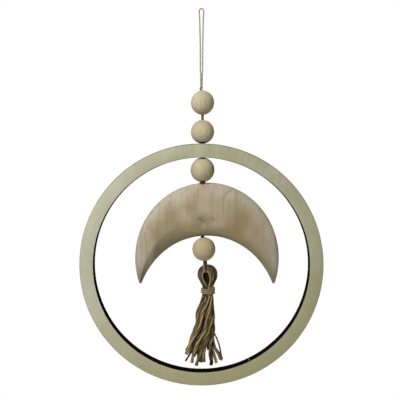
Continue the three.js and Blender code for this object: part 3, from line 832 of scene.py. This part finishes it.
class Finish:
    """A material being mixed. Each method adds a node and returns the socket that it gives."""

    def __init__(self, name, specular):
        self.material = bpy.data.materials.new(name)
        self.material.use_nodes = True
        self.tree = self.material.node_tree
        self.give("Roughness", 0.9)
        self.give("Specular IOR Level", specular)

    def feed(self, socket, value):
        if isinstance(value, bpy.types.NodeSocket):
            self.tree.links.new(value, socket)
        else:
            socket.default_value = value

    def give(self, name, value):
        self.feed(self.tree.nodes["Principled BSDF"].inputs[name], value)

    def node(self, kind, settings=(), **inputs):
        node = self.tree.nodes.new("ShaderNode" + kind)
        for key, value in dict(settings).items():
            setattr(node, key, value)
        for key, value in inputs.items():
            self.feed(node.inputs[key.replace("_", " ")], value)
        return node

    def at(self, scale=(1, 1, 1), turn=(0, 0, 0), shift=(0, 0, 0), of="Object"):
        place = self.node("TexCoord").outputs[of]
        return self.node("Mapping", Vector=place, Scale=scale, Rotation=turn, Location=shift).outputs[0]

    def noise(self, at, scale, detail=3.0, roughness=0.5, distortion=0.0):
        settings = dict(Vector=at, Scale=scale, Detail=detail, Roughness=roughness, Distortion=distortion)
        return self.node("TexNoise", **settings).outputs[0]

    def ranged(self, value, low, high, to_low=0.0, to_high=1.0):
        settings = {"interpolation_type": "SMOOTHSTEP"}
        return self.node(
            "MapRange", settings, Value=value, From_Min=low, From_Max=high, To_Min=to_low, To_Max=to_high,
        ).outputs[0]

    def math(self, operation, a, b=0.0):
        node = self.node("Math", {"operation": operation})
        self.feed(node.inputs[0], a)
        self.feed(node.inputs[1], b)
        return node.outputs[0]

    def mix(self, share, a, b):
        node = self.node("Mix", {"data_type": "RGBA"})
        for socket, value in ((0, share), (6, a), (7, b)):
            self.feed(node.inputs[socket], value)
        return node.outputs[2]

    def away(self, centre, scale=(1, 1, 1)):
        """How far a point lies from centre, with each direction stretched by scale."""
        offset = self.at(scale, shift=[-c * s for c, s in zip(centre, scale)])
        return self.node("VectorMath", {"operation": "LENGTH"}, Vector=offset).outputs["Value"]

    def along(self, axis, **placing):
        """One coordinate of the point."""
        return self.node("SeparateXYZ", Vector=self.at(**placing)).outputs[axis]

    def bump(self, height, distance):
        node = self.node("Bump", Height=height, Distance=distance)
        self.give("Normal", node.outputs[0])

    def coloured(self, colour):
        self.give("Base Color", colour)
        return self.material


def tone(red, green, blue):
    """A colour from its 0 to 255 screen values."""
    values = [c / 255 for c in (red, green, blue)]
    return (*[c / 12.92 if c <= 0.04045 else ((c + 0.055) / 1.055) ** 2.4 for c in values], 1)


def turned_bead_wood():
    """Pale sanded wood: fine grain along the hole, a few warmer rings, and duller towards the lower beads.
    It has painted contact shadow where the beads meet the ring and the knot."""
    finish = Finish("bead_wood", 0.2)
    cloud = finish.noise(finish.at(), 70, 3)
    grain = finish.noise(finish.at((700, 700, 45)), 1.0, 4, 0.6)
    rings = finish.noise(finish.at((260, 90, 30), (0.2, 0.35, 0.1)), 1.0, 2, 0.5, 0.6)
    colour = finish.mix(finish.ranged(cloud, 0.3, 0.7), tone(191, 181, 151), tone(204, 193, 165))
    colour = finish.mix(finish.ranged(rings, 0.56, 0.8, 0, 0.35), colour, tone(180, 148, 102))
    colour = finish.mix(finish.ranged(grain, 0.3, 0.7, 0.3, 0), colour, tone(150, 128, 92))
    pores = finish.noise(finish.at((1500, 1500, 300)), 1.0, 2, 0.6)
    colour = finish.mix(finish.ranged(pores, 0.6, 0.75, 0, 0.4), colour, tone(138, 120, 84))
    height = finish.along("Z")
    colour = finish.mix(finish.ranged(height, -0.28, -0.1, 0.36, 0), colour, tone(172, 152, 104))
    on_ring, half_ring = (bead_foot[1] + bead_top[2]) / 2, (bead_foot[1] - bead_top[2]) / 2
    # Painted contact shadow on the beads next to the ring, and on the third bead's foot at the knot
    for middle, reach, share in ((on_ring, half_ring, 0.9), (bead_foot[2], 0, 0.8)):
        away = finish.math("ABSOLUTE", finish.math("SUBTRACT", height, middle))
        beyond = finish.math("SUBTRACT", away, reach)
        colour = finish.mix(finish.ranged(beyond, 0.9 * MM, 2.2 * MM, share, 0), colour, tone(44, 35, 20))
    finish.give("Roughness", finish.ranged(cloud, 0.3, 0.7, 0.55, 0.68))
    finish.bump(grain, 0.025 * MM)
    return finish.coloured(colour)


def sawn_ring_wood():
    """Grey-beige board with fine upright grain, charred on its sawn inner and outer walls. Painted light
    lightens its left side, and painted shade yellows its lower right.
    """
    finish = Finish("ring_wood", 0.25)
    cloud = finish.noise(finish.at((1, 1, 0.7)), 34, 3)
    streaks = finish.noise(finish.at((420, 420, 26)), 1.0, 4, 0.6, 0.3)
    mottle = finish.noise(finish.at((160, 160, 70)), 1.0, 3, 0.5)
    colour = finish.mix(finish.ranged(cloud, 0.3, 0.7), tone(171, 170, 141), tone(184, 183, 157))
    colour = finish.mix(finish.ranged(mottle, 0.5, 0.75, 0, 0.35), colour, tone(158, 156, 126))
    colour = finish.mix(finish.ranged(streaks, 0.45, 0.75, 0, 0.4), colour, tone(152, 148, 112))
    # Painted light: lighter towards the left, the side the key light comes from
    colour = finish.mix(finish.ranged(finish.along("X"), 0.02, -0.14, 0, 0.42), colour, tone(212, 210, 190))
    # Painted shade: darker and yellower towards the lower right
    low_right = finish.along("Z", turn=(0, math.radians(25), 0))
    colour = finish.mix(finish.ranged(low_right, -0.24, -0.44, 0, 0.66), colour, tone(167, 160, 117))
    radius = finish.away((0, 0, RING_Z), (1, 0, 1))
    rim = finish.ranged(radius, RING_RADIUS - 1.6 * MM, RING_RADIUS - 0.5 * MM, 0, 0.5)
    colour = finish.mix(rim, colour, tone(146, 140, 108))
    # Painted shade: a dark line along the outer edge near the top
    rim = finish.ranged(radius, RING_RADIUS - 1.3 * MM, RING_RADIUS - 0.6 * MM, 0, 0.75)
    near_top = finish.ranged(finish.along("Z"), RING_Z + 70 * MM, RING_Z + 120 * MM)
    top_edge_shade = finish.math("MULTIPLY", rim, near_top)
    colour = finish.mix(top_edge_shade, colour, tone(104, 102, 84))
    inner = RING_RADIUS - RING_FACE
    chipped = finish.ranged(finish.noise(finish.at(), 120, 2), 0.72, 0.76)
    charred = finish.ranged(radius, inner + 0.3 * MM, inner + 0.5 * MM, 1, 0)
    charred = finish.math("MULTIPLY", charred, finish.math("SUBTRACT", 1.0, chipped))
    char = finish.mix(finish.ranged(mottle, 0.4, 0.7), tone(9, 8, 5), tone(24, 20, 12))
    colour = finish.mix(charred, colour, char)
    scorched = finish.ranged(radius, RING_RADIUS - 0.16 * MM, RING_RADIUS - 0.05 * MM, 0, 0.85)
    scorch = finish.mix(finish.ranged(mottle, 0.35, 0.7), tone(46, 37, 24), tone(78, 64, 42))
    colour = finish.mix(scorched, colour, scorch)
    burnt = finish.math("MAXIMUM", charred, scorched)
    finish.give("Specular IOR Level", finish.ranged(burnt, 0, 0.8, 0.25, 0))
    finish.give("Roughness", finish.ranged(mottle, 0.3, 0.7, 0.55, 0.72))
    finish.bump(streaks, 0.07 * MM)
    return finish.coloured(colour)


def in_ovals(size):
    """The scale that measures how far away a point lies in ovals of this size, seen from the front."""
    return 1 / size[0], 0, 1 / size[1]


def carved_crescent_wood():
    """Figured wood: upright grain, a paler, greyer band along the outer edge, brown stains and a small knot,
    with painted shade along the hollow and on the left horn's bevel.
    """
    finish = Finish("crescent_wood", 0.2)
    cloud = finish.noise(finish.at((1, 1, 0.6)), 45, 3)
    blotch = finish.noise(finish.at((1, 1, 0.6)), 60, 4, 0.55)
    grain = finish.noise(finish.at((520, 520, 20)), 1.0, 5, 0.6, 0.25)
    broad = finish.noise(finish.at((150, 150, 9)), 1.0, 3, 0.5, 0.4)

    def stain_and_painted_shade(colour, share, shade, *marks):
        """Adds soft marks, stains and painted shade. Each is its x and z from the centre, and half its width
        and height, in mm.
        """
        for x, z, wide, tall in marks:
            distance = finish.away(CRESCENT_CENTRE + Vector((x, 0, z)) * MM, in_ovals((wide * MM, tall * MM)))
            distance = finish.math("ADD", distance, finish.ranged(blotch, 0.25, 0.75, -0.225, 0.225))
            inside = finish.ranged(distance, 0.1, 1.35, 1, 0)
            colour = finish.mix(finish.math("MULTIPLY", inside, share), colour, shade)
        return colour

    colour = finish.mix(finish.ranged(cloud, 0.3, 0.7), tone(173, 158, 131), tone(185, 173, 149))
    outer = finish.away(CRESCENT_CENTRE, in_ovals(OUTER_SIZE))
    outer = finish.math("ADD", outer, finish.ranged(cloud, 0.3, 0.7, -0.05, 0.05))
    colour = finish.mix(finish.ranged(outer, 0.77, 0.94, 0, 0.8), colour, tone(189, 180, 163))
    # Painted shade: darker towards the hollow's edge, where the section curves down away from the light
    inner = finish.away(CRESCENT_CENTRE + Vector((0, 0, HOLLOW_RISE)), in_ovals(HOLLOW_SIZE))
    colour = finish.mix(finish.ranged(inner, 1.19, 1.0, 0, 0.9), colour, tone(118, 112, 84))
    colour = stain_and_painted_shade(colour, 0.7, tone(150, 131, 88), (42, 50, 18, 22), (31, 36, 15, 12))
    colour = stain_and_painted_shade(colour, 0.4, tone(150, 131, 92), (62, 26, 14, 24))
    colour = stain_and_painted_shade(colour, 0.65, tone(150, 134, 98), (-46, 48, 15, 24), (-62, 28, 10, 22), (-22, 38, 18, 10))
    # Painted shade: widens the dark band along the hollow on the left
    colour = stain_and_painted_shade(colour, 0.65, tone(127, 117, 88), (-7, 48, 15, 12), (-32, 28, 16, 9))
    colour = stain_and_painted_shade(colour, 0.5, tone(164, 136, 104), (-5, 91, 9, 8), (-21, 66, 12, 8))
    colour = stain_and_painted_shade(colour, 0.55, tone(190, 184, 164), (55, 70, 22, 14), (-60, 56, 9, 9), (-76, 8, 10, 26))
    colour = stain_and_painted_shade(colour, 0.5, tone(180, 170, 146), (-4, 42, 4, 5), (7, 44, 4, 6))
    # Painted shade on the left horn's bevel, below its ridge
    colour = stain_and_painted_shade(colour, 0.35, tone(104, 98, 74), (-45, 23, 11, 7), (-61, 10, 7, 10))
    colour = stain_and_painted_shade(colour, 0.45, tone(150, 139, 110), (76, 10, 9, 26))
    colour = stain_and_painted_shade(colour, 0.55, tone(104, 98, 76), (-9, 51, 3.2, 2.2), (-5, 48, 2.4, 2), (8, 50, 2.6, 1.8))
    colour = finish.mix(finish.ranged(broad, 0.42, 0.72, 0, 0.35), colour, tone(146, 124, 92))
    colour = finish.mix(finish.ranged(grain, 0.5, 0.78, 0, 0.5), colour, tone(132, 112, 82))
    colour = finish.mix(arched_grain(finish, cloud), colour, tone(134, 104, 66))
    finish.give("Roughness", finish.ranged(blotch, 0.3, 0.7, 0.48, 0.64))
    finish.bump(grain, 0.09 * MM)
    return finish.coloured(colour)


def arched_grain(finish, wander):
    """The grain line that climbs right of the middle and arches over to the right near the top."""
    foot = CRESCENT_CENTRE + Vector((32, 0, 74)) * MM
    parts = finish.node("SeparateXYZ", Vector=finish.at(shift=tuple(-foot))).outputs
    above = finish.math("MAXIMUM", parts["Z"], 0.0)
    reach = finish.math("SQRT", finish.math(
        "ADD", finish.math("POWER", parts["X"], 2.0), finish.math("POWER", above, 2.0),
    ))
    reach = finish.math("ADD", reach, finish.ranged(wander, 0.2, 0.8, -1.2 * MM, 1.2 * MM))
    off = finish.math("ABSOLUTE", finish.math("SUBTRACT", reach, 12.5 * MM))
    left = finish.ranged(parts["X"], -3 * MM, 1 * MM, 1, 0)
    high = finish.ranged(parts["Z"], -36 * MM, -8 * MM)
    line = finish.ranged(off, 0.3 * MM, 2.2 * MM, 0.38, 0)
    return finish.math("MULTIPLY", finish.math("MULTIPLY", line, high), left)


def laid_fibre(name, dark, light, plies):
    """Laid strands, whose fibres run along the plies: darker where the shade attribute is low, with painted
    shade in the grooves between the plies.
    """
    finish = Finish(name, 0.1)
    fibres = finish.noise(finish.at((30, 90, 1), of="UV"), 1.0, 4, 0.65)
    patches = finish.noise(finish.at((1.5, 70, 1), of="UV"), 1.0, 2)
    # Painted shade in the grooves between the plies
    half_turns = finish.math("MULTIPLY", finish.along("X", of="UV"), math.pi * plies)
    lobe = finish.math("ABSOLUTE", finish.math("COSINE", half_turns))
    shade = finish.node("Attribute", {"attribute_name": "shade"}).outputs["Fac"]
    light_share = finish.math("ADD", shade, finish.ranged(patches, 0.3, 0.7, -0.22, 0.22))
    colour = finish.mix(light_share, dark, light)
    colour = finish.mix(finish.ranged(fibres, 0.35, 0.7, 0.55, 0), colour, dark)
    colour = finish.mix(finish.ranged(lobe, 0.05, 0.7, 0.85, 0), colour, dark)
    finish.bump(fibres, 0.15 * MM)
    return finish.coloured(colour)


# Light and stage


def studio():
    """Plain soft studio light and a white surround."""
    scene = bpy.context.scene
    scene.view_settings.view_transform = "Standard"
    world = bpy.data.worlds.new("surround")
    scene.world = world
    world.use_nodes = True
    tree = world.node_tree
    fill = tree.nodes["Background"]
    fill.inputs["Color"].default_value = (1, 0.92, 0.62, 1)
    fill.inputs["Strength"].default_value = 0.07
    seen = tree.nodes.new("ShaderNodeBackground")
    seen.inputs["Color"].default_value = (1, 1, 1, 1)
    mix = tree.nodes.new("ShaderNodeMixShader")
    rays = tree.nodes.new("ShaderNodeLightPath")
    tree.links.new(rays.outputs["Is Camera Ray"], mix.inputs[0])
    tree.links.new(fill.outputs[0], mix.inputs[1])
    tree.links.new(seen.outputs[0], mix.inputs[2])
    tree.links.new(mix.outputs[0], tree.nodes["World Output"].inputs["Surface"])
    soft_light("key", (-0.5, -0.75, 0.45), 0.45, 11.6)
    soft_light("front_fill", (0.1, -1.5, -0.1), 0.8, 3.2)
    soft_light("right_side", (1.1, 0.1, 0.2), 0.6, 2.2)
    soft_light("left_side", (-1.1, 0.2, 0.2), 0.6, 1.6)
    soft_light("back", (-0.2, 1.25, 0.05), 0.6, 12)


def soft_light(name, place, size, power):
    data = bpy.data.lights.new(name, "AREA")
    data.shape = "DISK"
    data.size = size
    data.energy = power
    light = bpy.data.objects.new(name, data)
    light.visible_camera = False
    light.location = place
    aim = Vector((0, 0, RING_Z)) - light.location
    light.rotation_euler = aim.to_track_quat("-Z", "Y").to_euler()
    bpy.context.scene.collection.objects.link(light)


def floor():
    piece = begin(
        "floor", bpy.ops.mesh.primitive_circle_add, vertices=96, radius=0.72, fill_type="NGON",
        location=(0, 0, -0.8),
    )
    put_down()
    finish = Finish("floor", 0.1)
    piece.data.materials.append(finish.coloured(tone(250, 250, 250)))


camera()
twine_fibre = laid_fibre("twine_fibre", tone(104, 88, 60), tone(218, 209, 178), 3)
brown_twine = laid_fibre("brown_twine", tone(44, 32, 16), tone(196, 176, 130), 3)
yarn_fibre = laid_fibre("yarn_fibre", tone(34, 25, 11), tone(202, 178, 132), 2)
bead_wood = turned_bead_wood()
ring_wood = sawn_ring_wood()
crescent_wood = carved_crescent_wood()

hanging_twine()
stem_twine()
lower_twine()
knot()
ends = cut_ends()
for layer, slot, number in yarn_places():
    yarn(layer, slot, number, ends)
inner_strands()
loose_ply()
tassel_wrap()
for number, body in enumerate(("bead_1", "bead_2", "bead_3", "bead_4"), start=1):
    bead(number, body, -LEAN if number == 4 else 0)
ring()
crescent()
floor()
studio()

bpy.context.view_layer.update()
